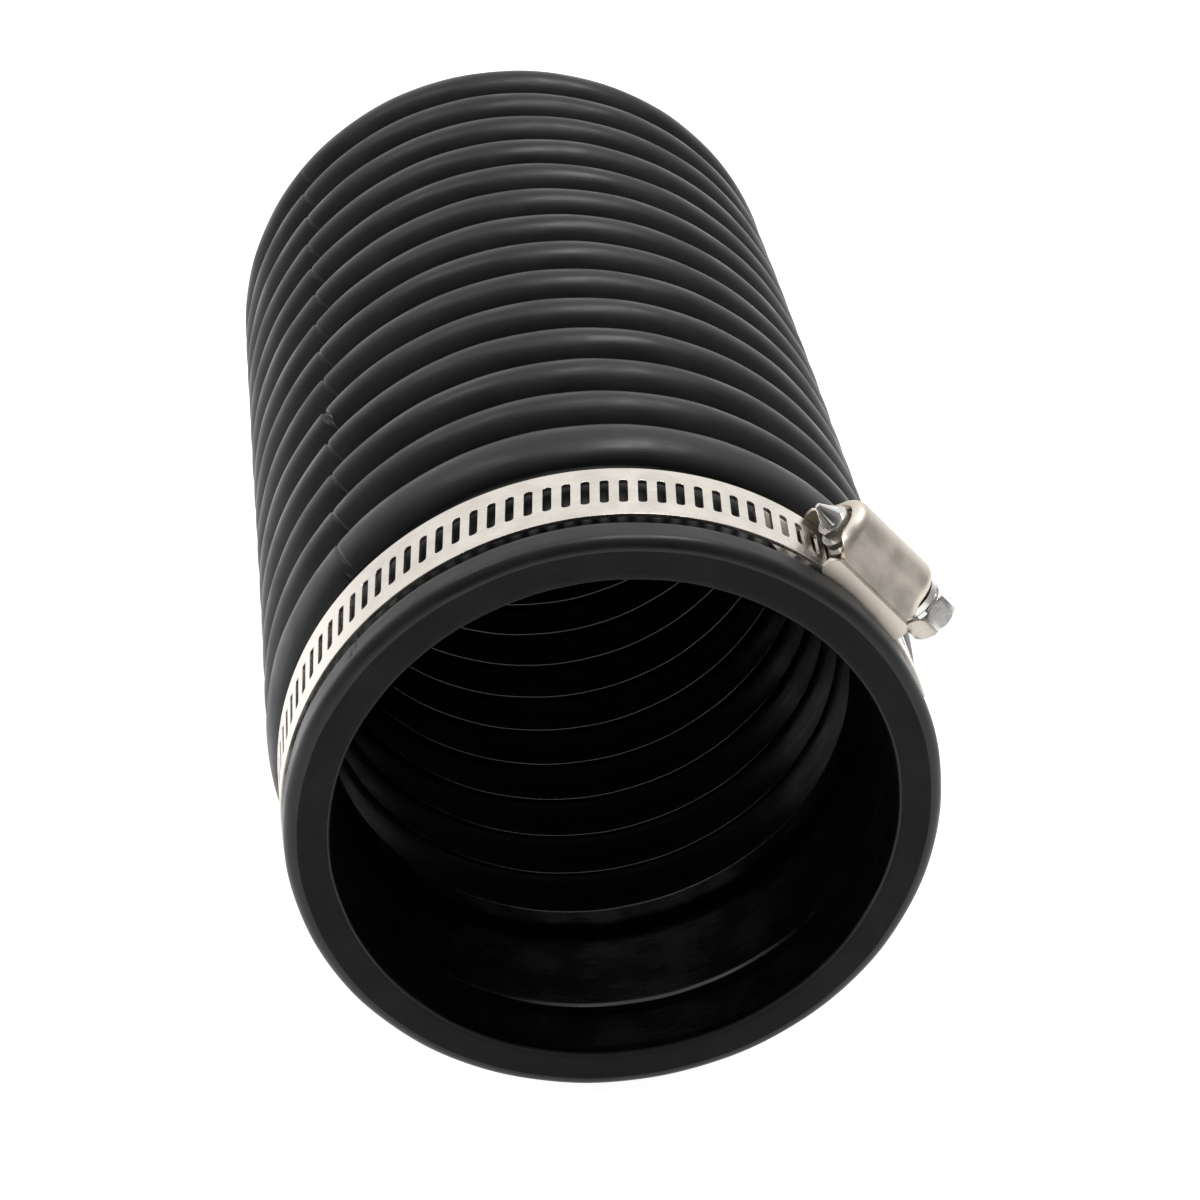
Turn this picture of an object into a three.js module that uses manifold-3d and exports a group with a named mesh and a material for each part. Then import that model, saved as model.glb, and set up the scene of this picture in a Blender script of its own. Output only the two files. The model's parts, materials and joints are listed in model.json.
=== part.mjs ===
// Flexible bellows coupling for 3 inch (88.9 mm) pipe: a moulded rubber sleeve with a long cuff in front,
// a worm-drive clamp round that cuff, and a short plain end behind.
//
// Millimetres, +Z up. The coupling's axis is Y, its front mouth faces -Y, and the origin is on the axis,
// half way along. The sleeve is one moulding on the real object. Here it is cut in its valleys, so that
// each convolution can slide or tilt against the next one. The clamp's band is one strip: it is cut
// where its two ends overlap, so that the slotted end can travel through the housing.

import * as THREE from 'three';
import { mergeVertices } from 'three/addons/utils/BufferGeometryUtils.js';
import { ParametricGeometry } from 'three/addons/geometries/ParametricGeometry.js';
import Module from 'manifold-3d';

const wasm = await Module();
wasm.setup();

// ---- Driving dimensions -------------------------------------------------------------------------

const PIPE_DIAMETER = 88.9;
const CREST_RADIUS = 53.3;
const PITCH = 11.4; // from one crest to the next
const VALLEYS = 13; // between the two shoulders, so there are VALLEYS - 1 free convolutions
const SHOULDER_DEPTH = 32; // from the front face to the crest of the front shoulder
const REAR_DEPTH = 14; // from the rear face to the crest of the rear shoulder
const RIDGE_RADIUS = 43.6; // inside of the valleys
const FLEX_GAP = 2.8; // left between neighbouring convolutions, for their travel
const STOP_INSET = 1; // from a shoulder's crest on to the ledge that stops the pipe
const SEAL_RIB_DEPTH = 11.6; // from the front face to the low rib that grips the pipe
const SEAL_RIB_HEIGHT = 0.5;

const RIM_RADIUS = 51.5;
const RIM_ROUNDING = 2;
const REAR_WALL = 3;
const REAR_ROUNDING = 1;
const GROOVE_RADIUS = 49.9; // floor that the clamp band lies on
const SHOULDER_RISE = 6.6; // along the axis, from that floor to the shoulder's crest
const CLAMP_DEPTH = 14.4; // from the front face to the middle of the clamp band

const BAND_WIDTH = 14.2;
const BAND_THICKNESS = 0.6;
const SLOT_PITCH = 2.9; // also the lead of the screw's thread
const SLOT_WIDTH = 1.35;
const SLOT_LENGTH = 6.8;
const WORM_RADIUS = 4.2;
const HEAD_ACROSS_FLATS = 7.94;
const HOUSING_WALL = 0.8;
const CLAMP_TURN = THREE.MathUtils.degToRad(48); // from the top, towards +X

const CLEARANCE = 0.3; // between pieces that lie on each other

// ---- Worked out from them -----------------------------------------------------------------------

const LENGTH = SHOULDER_DEPTH + VALLEYS * PITCH + REAR_DEPTH;
const FRONT = -LENGTH / 2;
const BORE_RADIUS = PIPE_DIAMETER / 2;

const FIXED_RADIUS = GROOVE_RADIUS + CLEARANCE; // inside of the band's fixed end
const BAND_GAP = 0.4; // between the band's two ends, where they overlap
const SLOTTED_RADIUS = FIXED_RADIUS + BAND_THICKNESS + BAND_GAP; // inside of the slotted end, on top
const BAND_TOP = SLOTTED_RADIUS + BAND_THICKNESS;
const SLOT_ANGLE = SLOT_PITCH / (SLOTTED_RADIUS + BAND_THICKNESS / 2);

const WORM_BITE = 0.4; // how far the thread reaches below the band's outer face
const SCREW_HEIGHT = BAND_TOP - WORM_BITE + WORM_RADIUS; // screw axis, above the coupling's axis

const OVERLAP = 0.2; // of solids that are joined into one

const FOLD_SIDES = 28;
const CUFF_SIDES = 40;

const rubber = new THREE.MeshStandardMaterial({ color: '#1c1d1f', roughness: 0.55, metalness: 0 });
const bandSteel = new THREE.MeshStandardMaterial({ color: '#cbc8c0', roughness: 0.25, metalness: 1 });
const housingSteel = new THREE.MeshStandardMaterial({ color: '#b4afa6', roughness: 0.38, metalness: 1 });
const screwSteel = new THREE.MeshStandardMaterial({ color: '#c4c0b8', roughness: 0.3, metalness: 1 });

// ---- Solids -------------------------------------------------------------------------------------

// Leaves only the positions, joins vertices at the same place and drops triangles with no area.
function closed(geometry) {
  geometry.deleteAttribute('normal');
  geometry.deleteAttribute('uv');
  const merged = mergeVertices(geometry, 1e-4);
  const corners = merged.index.array;
  const kept = [];
  for (let i = 0; i < corners.length; i += 3) {
    const [a, b, c] = corners.subarray(i, i + 3);
    if (a !== b && b !== c && c !== a) kept.push(a, b, c);
  }
  merged.setIndex(kept);
  return merged;
}

function toManifold(geometry) {
  const merged = closed(geometry);
  const vertProperties = new Float32Array(merged.attributes.position.array);
  const triVerts = new Uint32Array(merged.index.array);
  return new wasm.Manifold(new wasm.Mesh({ numProp: 3, vertProperties, triVerts }));
}

function toGeometry(manifold) {
  const { vertProperties, triVerts } = manifold.getMesh();
  const geometry = new THREE.BufferGeometry();
  geometry.setAttribute('position', new THREE.BufferAttribute(new Float32Array(vertProperties), 3));
  geometry.setIndex(new THREE.BufferAttribute(new Uint32Array(triVerts), 1));
  return geometry;
}

const joined = (geometries) => geometries.map(toManifold).reduce((whole, piece) => whole.add(piece));

const cutFrom = (whole, tools) => tools.map(toManifold).reduce((rest, tool) => rest.subtract(tool), whole);

function named(name, geometry, material) {
  const mesh = new THREE.Mesh(geometry, material);
  mesh.name = name;
  mesh.geometry.computeVertexNormals();
  return mesh;
}

// A closed outline of (radius, y) points, turned round the Y axis, with a flat facet underneath.
function turned(outline, sides) {
  return closed(new THREE.LatheGeometry([...outline, outline[0]], sides, Math.PI / sides, 2 * Math.PI));
}

// Points on a quarter or half ellipse, as (radius, y), from one angle to another. Angle 0 is the crest.
function arch(y, foot, halfWidth, height, from, to, steps) {
  return Array.from({ length: steps + 1 }, (_, i) => {
    const angle = from + (steps > 0 ? ((to - from) * i) / steps : 0);
    return new THREE.Vector2(foot + height * Math.cos(angle), y + halfWidth * Math.sin(angle));
  });
}

const point = (radius, y) => new THREE.Vector2(radius, y);

// ---- Sleeve -------------------------------------------------------------------------------------
//
// Where two pieces of the sleeve meet, one carries a lip that reaches under the other's raised foot, so
// that the wall stays shut while the pieces slide and tilt.

const HALF_FOLD = (PITCH - FLEX_GAP) / 2;
const FOLD_WALL = 2.6;
const LIP_RADIUS = RIDGE_RADIUS + 1.2; // outside of the lip
const FOOT_RADIUS = LIP_RADIUS + 0.5; // inside of the foot that lies over it
const LIP_END = PITCH / 2 + 3.7; // from the crest of the piece that carries the lip
const QUARTER = Math.PI / 2;

// The outline of a lip that leaves the outer flank of a fold and comes back along the ridge.
const lip = (crestAt, backTo) => [
  point(LIP_RADIUS, crestAt + HALF_FOLD),
  point(LIP_RADIUS, crestAt + LIP_END),
  point(RIDGE_RADIUS, crestAt + LIP_END),
  point(RIDGE_RADIUS, backTo),
];

function convolution(hasLip) {
  const rise = CREST_RADIUS - FOOT_RADIUS;
  const innerHalf = HALF_FOLD - FOLD_WALL;
  const rearFoot = [point(FOOT_RADIUS, HALF_FOLD), point(FOOT_RADIUS, innerHalf)];
  return turned([
    ...arch(0, FOOT_RADIUS, HALF_FOLD, rise, -QUARTER, QUARTER / 2, 3),
    ...(hasLip ? lip(0, innerHalf) : rearFoot),
    ...arch(0, FOOT_RADIUS, innerHalf, rise - FOLD_WALL, QUARTER / 3, -QUARTER / 3, 1),
    point(FOOT_RADIUS, -innerHalf),
  ], FOLD_SIDES);
}

// The side of a shoulder that faces the middle: down to where its lip starts, and back to the bore.
const shoulderBack = (crestAt) => [
  ...arch(crestAt, FOOT_RADIUS, HALF_FOLD, CREST_RADIUS - FOOT_RADIUS, QUARTER / 2, QUARTER / 2, 0),
  ...lip(crestAt, crestAt + STOP_INSET),
  point(BORE_RADIUS, crestAt + STOP_INSET),
];

// The front end, with its face at y = 0 and its shoulder towards +Y.
function clampedCuff() {
  const housingHalf = BAND_WIDTH / 2 + HOUSING_WALL + CLEARANCE;
  const grooveStart = CLAMP_DEPTH - housingHalf - CLEARANCE;
  const rimEnd = grooveStart - (RIM_RADIUS - GROOVE_RADIUS) / 2;
  const ribRadius = BORE_RADIUS - SEAL_RIB_HEIGHT;
  const ribFoot = 1.2; // half of the rib's width at the bore
  const ribTop = 0.5;
  return turned([
    point(BORE_RADIUS, 0),
    ...arch(RIM_ROUNDING, RIM_RADIUS - RIM_ROUNDING, RIM_ROUNDING, RIM_ROUNDING, -QUARTER, 0, 2),
    point(RIM_RADIUS, rimEnd),
    point(GROOVE_RADIUS, grooveStart),
    ...arch(SHOULDER_DEPTH, GROOVE_RADIUS, SHOULDER_RISE, CREST_RADIUS - GROOVE_RADIUS, -QUARTER, 0, 2),
    ...shoulderBack(SHOULDER_DEPTH),
    point(BORE_RADIUS, SEAL_RIB_DEPTH + ribFoot),
    point(ribRadius, SEAL_RIB_DEPTH + ribTop),
    point(ribRadius, SEAL_RIB_DEPTH - ribTop),
    point(BORE_RADIUS, SEAL_RIB_DEPTH - ribFoot),
  ], CUFF_SIDES);
}

// The rear end, built the same way round as the front one.
function plainEnd() {
  const outside = BORE_RADIUS + REAR_WALL;
  return turned([
    point(BORE_RADIUS, 0),
    ...arch(REAR_ROUNDING, outside - REAR_ROUNDING, REAR_ROUNDING, REAR_ROUNDING, -QUARTER, 0, 1),
    ...arch(REAR_DEPTH, outside, HALF_FOLD, CREST_RADIUS - outside, -QUARTER, 0, 3),
    ...shoulderBack(REAR_DEPTH),
  ], CUFF_SIDES);
}

// Lips point towards the middle from both ends, so the middle convolution has none.
function sleeve() {
  const front = named('front_cuff', clampedCuff(), rubber);
  front.position.y = FRONT;
  const rear = named('rear_cuff', plainEnd(), rubber);
  rear.rotation.x = Math.PI;
  rear.position.y = -FRONT;
  const pieces = new THREE.Group().add(front, rear);
  const middle = Math.floor(VALLEYS / 2);
  for (let i = 1; i < VALLEYS; i += 1) {
    const ring = named(`convolution_${String(i).padStart(2, '0')}`, convolution(i !== middle), rubber);
    ring.rotation.x = i > middle ? Math.PI : 0;
    ring.position.y = FRONT + SHOULDER_DEPTH + i * PITCH;
    pieces.add(ring);
  }
  return pieces;
}

// ---- Clamp --------------------------------------------------------------------------------------
//
// The clamp is built with its housing on top, over the Y axis, and the screw's head towards +X.
// Places along the band are angles from the housing, positive towards the head.

// A strip bent round the Y axis, made of cells as long as one slot pitch. The slots lean with the
// thread that engages them.
function strip(innerRadius, firstCell, cellCount, hasSlot) {
  const lean = SLOT_PITCH / (2 * Math.PI * WORM_RADIUS);
  const positions = [];
  const place = (cell, across, outer) => {
    const radius = innerRadius + (outer ? BAND_THICKNESS : 0);
    return [radius * Math.sin(cell * SLOT_ANGLE), across, radius * Math.cos(cell * SLOT_ANGLE)];
  };
  const quad = (a, b, c, d) => positions.push(...a, ...b, ...c, ...a, ...c, ...d);
  const bothFaces = ([a, b, c, d]) => {
    quad(...[a, b, c, d].map((p) => place(...p, true)));
    quad(...[d, c, b, a].map((p) => place(...p, false)));
  };
  const wall = (a, b) => quad(place(...a, false), place(...b, false), place(...b, true), place(...a, true));
  const half = BAND_WIDTH / 2;
  for (let cell = firstCell; cell < firstCell + cellCount; cell += 1) {
    const rim = [[cell - 0.5, -half], [cell + 0.5, -half], [cell + 0.5, half], [cell - 0.5, half]];
    wall(rim[0], rim[1]);
    wall(rim[2], rim[3]);
    if (cell === firstCell) wall(rim[3], rim[0]);
    if (cell === firstCell + cellCount - 1) wall(rim[1], rim[2]);
    if (!hasSlot(cell)) {
      bothFaces(rim);
      continue;
    }
    const slot = [[-1, -1], [1, -1], [1, 1], [-1, 1]].map(([side, end]) => {
      const along = (side * SLOT_WIDTH) / 2 + (end * lean * SLOT_LENGTH) / 2;
      return [cell + along / SLOT_PITCH, (end * SLOT_LENGTH) / 2];
    });
    for (let i = 0; i < 4; i += 1) {
      const next = (i + 1) % 4;
      bothFaces([rim[i], rim[next], slot[next], slot[i]]);
      wall(slot[next], slot[i]);
    }
  }
  const geometry = new THREE.BufferGeometry();
  geometry.setAttribute('position', new THREE.Float32BufferAttribute(positions, 3));
  return closed(geometry);
}

const TAIL_CELLS = 7; // slotted cells past the housing's middle
const SLOTTED_CELLS = 67;
const TONGUE_CELLS = 6; // of the fixed end, before the housing's middle
const FIXED_CELLS = 58;

const slottedEnd = () => strip(SLOTTED_RADIUS, TAIL_CELLS - SLOTTED_CELLS + 1, SLOTTED_CELLS, () => true);

const fixedEnd = () => strip(FIXED_RADIUS, -TONGUE_CELLS, FIXED_CELLS, () => false);

// Sends a shape's own x to Y, its y to Z and the direction it is extruded in to X.
const ACROSS = new THREE.Matrix4().makeBasis(
  new THREE.Vector3(0, 1, 0),
  new THREE.Vector3(0, 0, 1),
  new THREE.Vector3(1, 0, 0),
);

function extrudedAlongX(shape, from, to) {
  const settings = { depth: to - from, bevelEnabled: false, curveSegments: 8 };
  const geometry = new THREE.ExtrudeGeometry(shape, settings);
  return geometry.applyMatrix4(ACROSS).translate(from, 0, 0);
}

// A bar of circular or many-sided section along X.
function barAlongX(radius, from, to, sides = 20, endRadius = radius) {
  const geometry = new THREE.CylinderGeometry(endRadius, radius, to - from, sides);
  return geometry.rotateZ(-Math.PI / 2).translate((from + to) / 2, 0, 0);
}

const HOUSING_HALF_LENGTH = 9.2;
const JOURNAL_RADIUS = 2.7;

// The shell's section is a round dome over the screw, sloping to upright sides beside the band.
function dome(path, domeRadius, sideAt, foot) {
  const spring = Math.PI / 7; // where the dome meets the slopes, above level
  const sideTop = BAND_TOP + 2.2;
  path.moveTo(sideAt, foot);
  path.lineTo(sideAt, sideTop);
  path.absarc(0, SCREW_HEIGHT, domeRadius, spring, Math.PI - spring, false);
  path.lineTo(-sideAt, sideTop);
  path.lineTo(-sideAt, foot);
  path.closePath();
  return path;
}

function housing() {
  const cavityRadius = WORM_RADIUS + CLEARANCE;
  const innerSide = BAND_WIDTH / 2 + CLEARANCE;
  const shellRadius = cavityRadius + HOUSING_WALL;
  const outerSide = innerSide + HOUSING_WALL;
  const foot = GROOVE_RADIUS + CLEARANCE;
  const outside = extrudedAlongX(
    dome(new THREE.Shape(), shellRadius, outerSide, foot),
    -HOUSING_HALF_LENGTH,
    HOUSING_HALF_LENGTH,
  );
  const wallInside = HOUSING_HALF_LENGTH - HOUSING_WALL;
  const cavity = extrudedAlongX(
    dome(new THREE.Shape(), cavityRadius, innerSide, foot - 1),
    -wallInside,
    wallInside,
  );
  const bandWayHeight = 4;
  const bandWay = new THREE.BoxGeometry(4 * HOUSING_HALF_LENGTH, 2 * innerSide, bandWayHeight);
  bandWay.translate(0, 0, BAND_TOP + BAND_GAP - bandWayHeight / 2);
  const screwWay = barAlongX(JOURNAL_RADIUS + CLEARANCE, -2 * HOUSING_HALF_LENGTH, 2 * HOUSING_HALF_LENGTH);
  screwWay.translate(0, 0, SCREW_HEIGHT);
  return toGeometry(cutFrom(toManifold(outside), [cavity, bandWay, screwWay]));
}

// A right-handed thread along X. Its rows of vertices follow the helix, four to a turn: the two edges
// of the root and the two of the tip.
function worm(halfLength) {
  const rootRadius = WORM_RADIUS - 0.7;
  const corners = [
    { part: 0.05, radius: rootRadius },
    { part: 0.38, radius: WORM_RADIUS },
    { part: 0.56, radius: WORM_RADIUS },
    { part: 0.89, radius: rootRadius },
  ];
  const toothMiddle = (corners[1].part + corners[2].part) / 2;
  const underside = 0.75; // of a turn from +Y, where the thread meets the band
  const reach = Math.ceil(halfLength / SLOT_PITCH) + 1;
  const turns = 2 * reach + 1;
  const start = -reach - underside - toothMiddle;
  const rows = turns * corners.length + 3;
  const surface = (u, v, target) => {
    const row = Math.round(v * rows);
    const turn = 2 * Math.PI * u;
    let x = row < 2 ? -halfLength : halfLength;
    let radius = row === 0 || row === rows ? 0 : rootRadius;
    if (row > 1 && row < rows - 1) {
      const corner = corners[(row - 2) % corners.length];
      const free = (start + Math.floor((row - 2) / corners.length) + corner.part + u) * SLOT_PITCH;
      x = THREE.MathUtils.clamp(free, -halfLength, halfLength);
      radius = x === free ? corner.radius : rootRadius;
    }
    target.set(x, radius * Math.cos(turn), radius * Math.sin(turn));
  };
  return new ParametricGeometry(surface, 16, rows);
}

// Along the screw, from its pointed end: journal, worm, journal, collar, hex head with a driver slot.
function screw() {
  const wormHalf = HOUSING_HALF_LENGTH - HOUSING_WALL - 0.4;
  const journalStart = -HOUSING_HALF_LENGTH - 0.7;
  const pointLength = 3.7;
  const pointRadius = 0.5;
  const pointRoot = 2;
  const collarStart = HOUSING_HALF_LENGTH + CLEARANCE;
  const headStart = collarStart + 1.8;
  const headEnd = headStart + 4.2;
  const headChamfer = 0.6;
  const headCorner = HEAD_ACROSS_FLATS / Math.sqrt(3);
  const driverSlot = new THREE.BoxGeometry(2, 1.2, 3 * headCorner);
  driverSlot.translate(headEnd, 0, 0);
  const whole = joined([
    worm(wormHalf),
    barAlongX(JOURNAL_RADIUS, journalStart, collarStart + OVERLAP),
    barAlongX(pointRadius, journalStart - pointLength, journalStart + OVERLAP, 6, pointRoot),
    barAlongX(WORM_RADIUS, collarStart, headStart),
    barAlongX(headCorner, headStart - OVERLAP, headEnd - headChamfer, 6),
    barAlongX(headCorner, headEnd - headChamfer - OVERLAP, headEnd, 6, headCorner - headChamfer),
  ]);
  return toGeometry(cutFrom(whole, [driverSlot]));
}

function clamp() {
  const turning = named('clamp_screw', screw(), screwSteel);
  turning.position.z = SCREW_HEIGHT;
  return new THREE.Group().add(
    named('clamp_housing', housing(), housingSteel),
    named('band_fixed_end', fixedEnd(), bandSteel),
    named('band_slotted_end', slottedEnd(), bandSteel),
    turning,
  );
}

// ---- Coupling -----------------------------------------------------------------------------------

const placedClamp = clamp();
placedClamp.rotation.y = CLAMP_TURN;
placedClamp.position.y = FRONT + CLAMP_DEPTH;

const coupling = new THREE.Group();
coupling.name = 'pipe_coupling';
coupling.add(sleeve(), placedClamp);

export default coupling;
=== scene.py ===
import json
import math

import bpy
import numpy as np
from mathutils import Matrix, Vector


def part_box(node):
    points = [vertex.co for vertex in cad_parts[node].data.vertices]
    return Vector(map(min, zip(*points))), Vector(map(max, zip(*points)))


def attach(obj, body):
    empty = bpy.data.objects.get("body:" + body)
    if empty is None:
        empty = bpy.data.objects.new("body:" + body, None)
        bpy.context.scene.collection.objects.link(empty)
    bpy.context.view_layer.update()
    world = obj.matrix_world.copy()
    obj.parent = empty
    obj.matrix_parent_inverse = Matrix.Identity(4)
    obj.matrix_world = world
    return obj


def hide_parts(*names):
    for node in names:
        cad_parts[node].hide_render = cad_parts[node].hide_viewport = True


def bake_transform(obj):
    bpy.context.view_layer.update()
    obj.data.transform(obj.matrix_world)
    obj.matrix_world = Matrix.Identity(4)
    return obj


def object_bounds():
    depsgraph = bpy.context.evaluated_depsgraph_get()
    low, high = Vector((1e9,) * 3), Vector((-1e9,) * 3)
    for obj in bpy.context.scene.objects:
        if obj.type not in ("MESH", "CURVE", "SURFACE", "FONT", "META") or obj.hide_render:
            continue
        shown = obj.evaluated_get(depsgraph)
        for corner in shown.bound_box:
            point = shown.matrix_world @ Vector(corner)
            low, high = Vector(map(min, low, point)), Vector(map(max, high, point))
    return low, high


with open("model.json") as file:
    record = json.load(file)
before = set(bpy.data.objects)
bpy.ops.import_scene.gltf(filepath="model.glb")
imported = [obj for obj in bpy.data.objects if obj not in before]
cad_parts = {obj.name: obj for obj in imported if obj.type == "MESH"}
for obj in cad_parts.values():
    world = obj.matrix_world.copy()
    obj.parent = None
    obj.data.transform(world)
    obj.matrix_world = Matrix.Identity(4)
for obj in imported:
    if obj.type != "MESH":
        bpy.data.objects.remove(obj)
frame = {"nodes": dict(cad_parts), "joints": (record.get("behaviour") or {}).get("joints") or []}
cad_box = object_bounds()

# The look of a flexible bellows coupling: a black rubber sleeve with a worm-drive clamp round its front.
#
# Metres, +Z up. The coupling's axis is Y and its front mouth faces -Y. Angles round the sleeve go from +X
# towards +Z. The clamp has a frame of its own: x towards the screw's head, y across the band, z out from
# the axis through the housing; angles along its band go from z towards x.

MM = 0.001
QUARTER_TURN = math.pi / 2
FULL_TURN = 2 * math.pi

# ---- Sizes read from the frame ------------------------------------------------------------------

JOINTS = {joint["name"]: joint for joint in frame["joints"]}


def places(node):
    """The vertices of a CAD node, one row each."""
    return np.array([vertex.co for vertex in frame["nodes"][node].data.vertices])


def radii(node):
    """How far each vertex of a CAD node is from the coupling's axis."""
    corners = places(node)
    return np.hypot(corners[:, 0], corners[:, 2])


RINGS = sorted(name for name in frame["nodes"] if name.startswith("convolution_"))
SLEEVE = ["front_cuff", *RINGS, "rear_cuff"]
LAST_CREST = len(SLEEVE) - 1
MIDDLE = len(SLEEVE) // 2 - 1

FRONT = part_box("front_cuff")[0].y
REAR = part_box("rear_cuff")[1].y
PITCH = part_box(RINGS[1])[0].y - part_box(RINGS[0])[0].y
MIDDLE_CREST = sum(corner.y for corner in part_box(SLEEVE[MIDDLE])) / 2

screw_x, CLAMP_Y, screw_z = JOINTS["screw_turn"]["pos_m"]
SCREW_HEIGHT = math.hypot(screw_x, screw_z)
CLAMP_TURN = math.atan2(screw_x, screw_z)
SLOT_ANGLE = FULL_TURN * JOINTS["band_travel"]["range_deg"][1] / JOINTS["screw_turn"]["range_deg"][1]

BAND_INSIDE = radii("band_fixed_end").min()
BAND_THICKNESS = radii("band_fixed_end").max() - BAND_INSIDE
BAND_OVER = radii("band_slotted_end").min()
BAND_HALF_WIDTH = (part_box("band_slotted_end")[1].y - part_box("band_slotted_end")[0].y) / 2
SLOT_PITCH = SLOT_ANGLE * (BAND_OVER + BAND_THICKNESS / 2)

cuff_depths = places("front_cuff")[:, 1] - FRONT
cuff_radii = radii("front_cuff")
BORE = cuff_radii[cuff_depths < 0.1 * MM].min()
RIDGE = cuff_radii.min()
CREST = radii(RINGS[0]).max()
RIM = cuff_radii[cuff_depths < CLAMP_Y - BAND_HALF_WIDTH - FRONT].max()
REAR_RADIUS = radii("rear_cuff")[places("rear_cuff")[:, 1] > REAR - 4 * MM].max()
BAND_CLEARANCE = 0.3 * MM
GROOVE = BAND_INSIDE - BAND_CLEARANCE
FLOOR = cad_box[0].z


def in_clamp(node):
    """The vertices of one of the clamp's CAD nodes, in the clamp's own frame."""
    x, y, z = places(node).T
    sine, cosine = math.sin(CLAMP_TURN), math.cos(CLAMP_TURN)
    return np.column_stack([x * cosine - z * sine, y - CLAMP_Y, x * sine + z * cosine])


HOUSING_LOW = in_clamp("clamp_housing").min(0)
HOUSING_HIGH = in_clamp("clamp_housing").max(0)
HOUSING_HALF_LENGTH = HOUSING_HIGH[0]
HOUSING_HALF_WIDTH = HOUSING_HIGH[1]
SCREW_TIP = in_clamp("clamp_screw")[:, 0].min()
SCREW_HEAD = in_clamp("clamp_screw")[:, 0].max()
THREAD_BITE = 0.4 * MM  # how far the worm's thread reaches into the band's slots
WORM_RADIUS = SCREW_HEIGHT - (BAND_OVER + BAND_THICKNESS) + THREAD_BITE


def crest_y(number):
    """Where a crest is. Crest 0 is the front shoulder and LAST_CREST is the rear one."""
    return MIDDLE_CREST + (number - MIDDLE) * PITCH


FRONT_SHOULDER = crest_y(0) - FRONT
REAR_SHOULDER = REAR - crest_y(LAST_CREST)


def smoothstep(value, start, end):
    part = np.clip((value - start) / (end - start), 0, 1)
    return part * part * (3 - 2 * part)


def bump_at(distance, width):
    """A smooth bump of height 1."""
    return np.exp(-((distance / width) ** 2))


# ---- Meshes -------------------------------------------------------------------------------------


def new_piece(name, points, faces, material):
    mesh = bpy.data.meshes.new(name)
    mesh.from_pydata(np.asarray(points).tolist(), [], [list(map(int, face)) for face in faces])
    mesh.materials.append(material)
    mesh.shade_smooth()
    piece = bpy.data.objects.new(name, mesh)
    bpy.context.scene.collection.objects.link(piece)
    return piece


def applied(piece):
    """Puts what the piece's modifiers make into its mesh."""
    depsgraph = bpy.context.evaluated_depsgraph_get()
    result = bpy.data.meshes.new_from_object(piece.evaluated_get(depsgraph))
    piece.modifiers.clear()
    piece.data = result
    return piece


def edges_rounded(piece, width, sharp=math.radians(35)):
    """A small round on every edge, as rolled, pressed and turned steel has."""
    piece.data.set_sharp_from_angle(angle=sharp)
    bevel = piece.modifiers.new("rounded", "BEVEL")
    bevel.width = width
    bevel.segments = 2
    bevel.limit_method = "ANGLE"
    bevel.angle_limit = sharp
    bevel.harden_normals = True
    return applied(piece)


def thickened(piece, thickness):
    """Gives a sheet its thickness, on the side that its normals point away from."""
    solidify = piece.modifiers.new("thickness", "SOLIDIFY")
    solidify.thickness = thickness
    solidify.offset = -1
    solidify.use_even_offset = True
    return applied(piece)


def grid_faces(rows, columns, rows_closed=False, columns_closed=False):
    """Quads between the points of a grid, which is stored row by row."""
    faces = []
    for row in range(rows if rows_closed else rows - 1):
        for column in range(columns if columns_closed else columns - 1):
            row_after = (row + 1) % rows
            column_after = (column + 1) % columns
            faces.append((
                row * columns + column,
                row_after * columns + column,
                row_after * columns + column_after,
                row * columns + column_after,
            ))
    return faces


# ---- Materials ----------------------------------------------------------------------------------


class Graph:
    """A tree of shader nodes, built one node at a time."""

    def __init__(self, tree, coordinates):
        self.tree = tree
        self.here = self.add("ShaderNodeTexCoord").outputs[coordinates]

    def add(self, kind, settings=None, **inputs):
        node = self.tree.nodes.new(kind)
        for key, value in (settings or {}).items():
            setattr(node, key, value)
        for key, value in inputs.items():
            self.connect(value, node.inputs[key])
        return node

    def connect(self, value, target):
        if isinstance(value, bpy.types.NodeSocket):
            self.tree.links.new(value, target)
        else:
            target.default_value = value

    def math(self, operation, *values):
        node = self.add("ShaderNodeMath", {"operation": operation})
        for value, target in zip(values, node.inputs):
            self.connect(value, target)
        return node.outputs[0]

    def spread(self, value, start, end, low, high):
        """Sends start..end to low..high and holds it there."""
        node = self.add("ShaderNodeMapRange", {"interpolation_type": "SMOOTHSTEP"})
        for place, given in zip(node.inputs, (value, start, end, low, high)):
            self.connect(given, place)
        return node.outputs[0]

    def noise(self, size, detail=3.0, vector=None):
        """Cloudy pattern from 0 to 1, whose patches are about as large as size, in metres."""
        node = self.add("ShaderNodeTexNoise", Vector=vector or self.here, Scale=1 / size, Detail=detail)
        return node.outputs["Fac"]

    def along_the_band(self, stretch):
        """Coordinates that are drawn out round the coupling's axis, for rolling and drawing marks."""
        parts = self.add("ShaderNodeSeparateXYZ", Vector=self.here).outputs
        angle = self.math("ARCTAN2", parts[0], parts[2])
        arc = self.math("MULTIPLY", angle, CREST / stretch)
        radius = self.math("SQRT", self.math(
            "ADD", self.math("MULTIPLY", parts[0], parts[0]), self.math("MULTIPLY", parts[2], parts[2])
        ))
        return self.add("ShaderNodeCombineXYZ", X=arc, Y=parts[1], Z=radius).outputs[0]

    def mix(self, factor, first, second):
        node = self.add("ShaderNodeMix", {"data_type": "RGBA"})
        self.connect(factor, node.inputs["Factor"])
        colours = [socket for socket in node.inputs if socket.type == "RGBA"]
        for value, target in zip((first, second), colours):
            self.connect(value if isinstance(value, bpy.types.NodeSocket) else (*value, 1), target)
        return next(socket for socket in node.outputs if socket.type == "RGBA")


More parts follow.
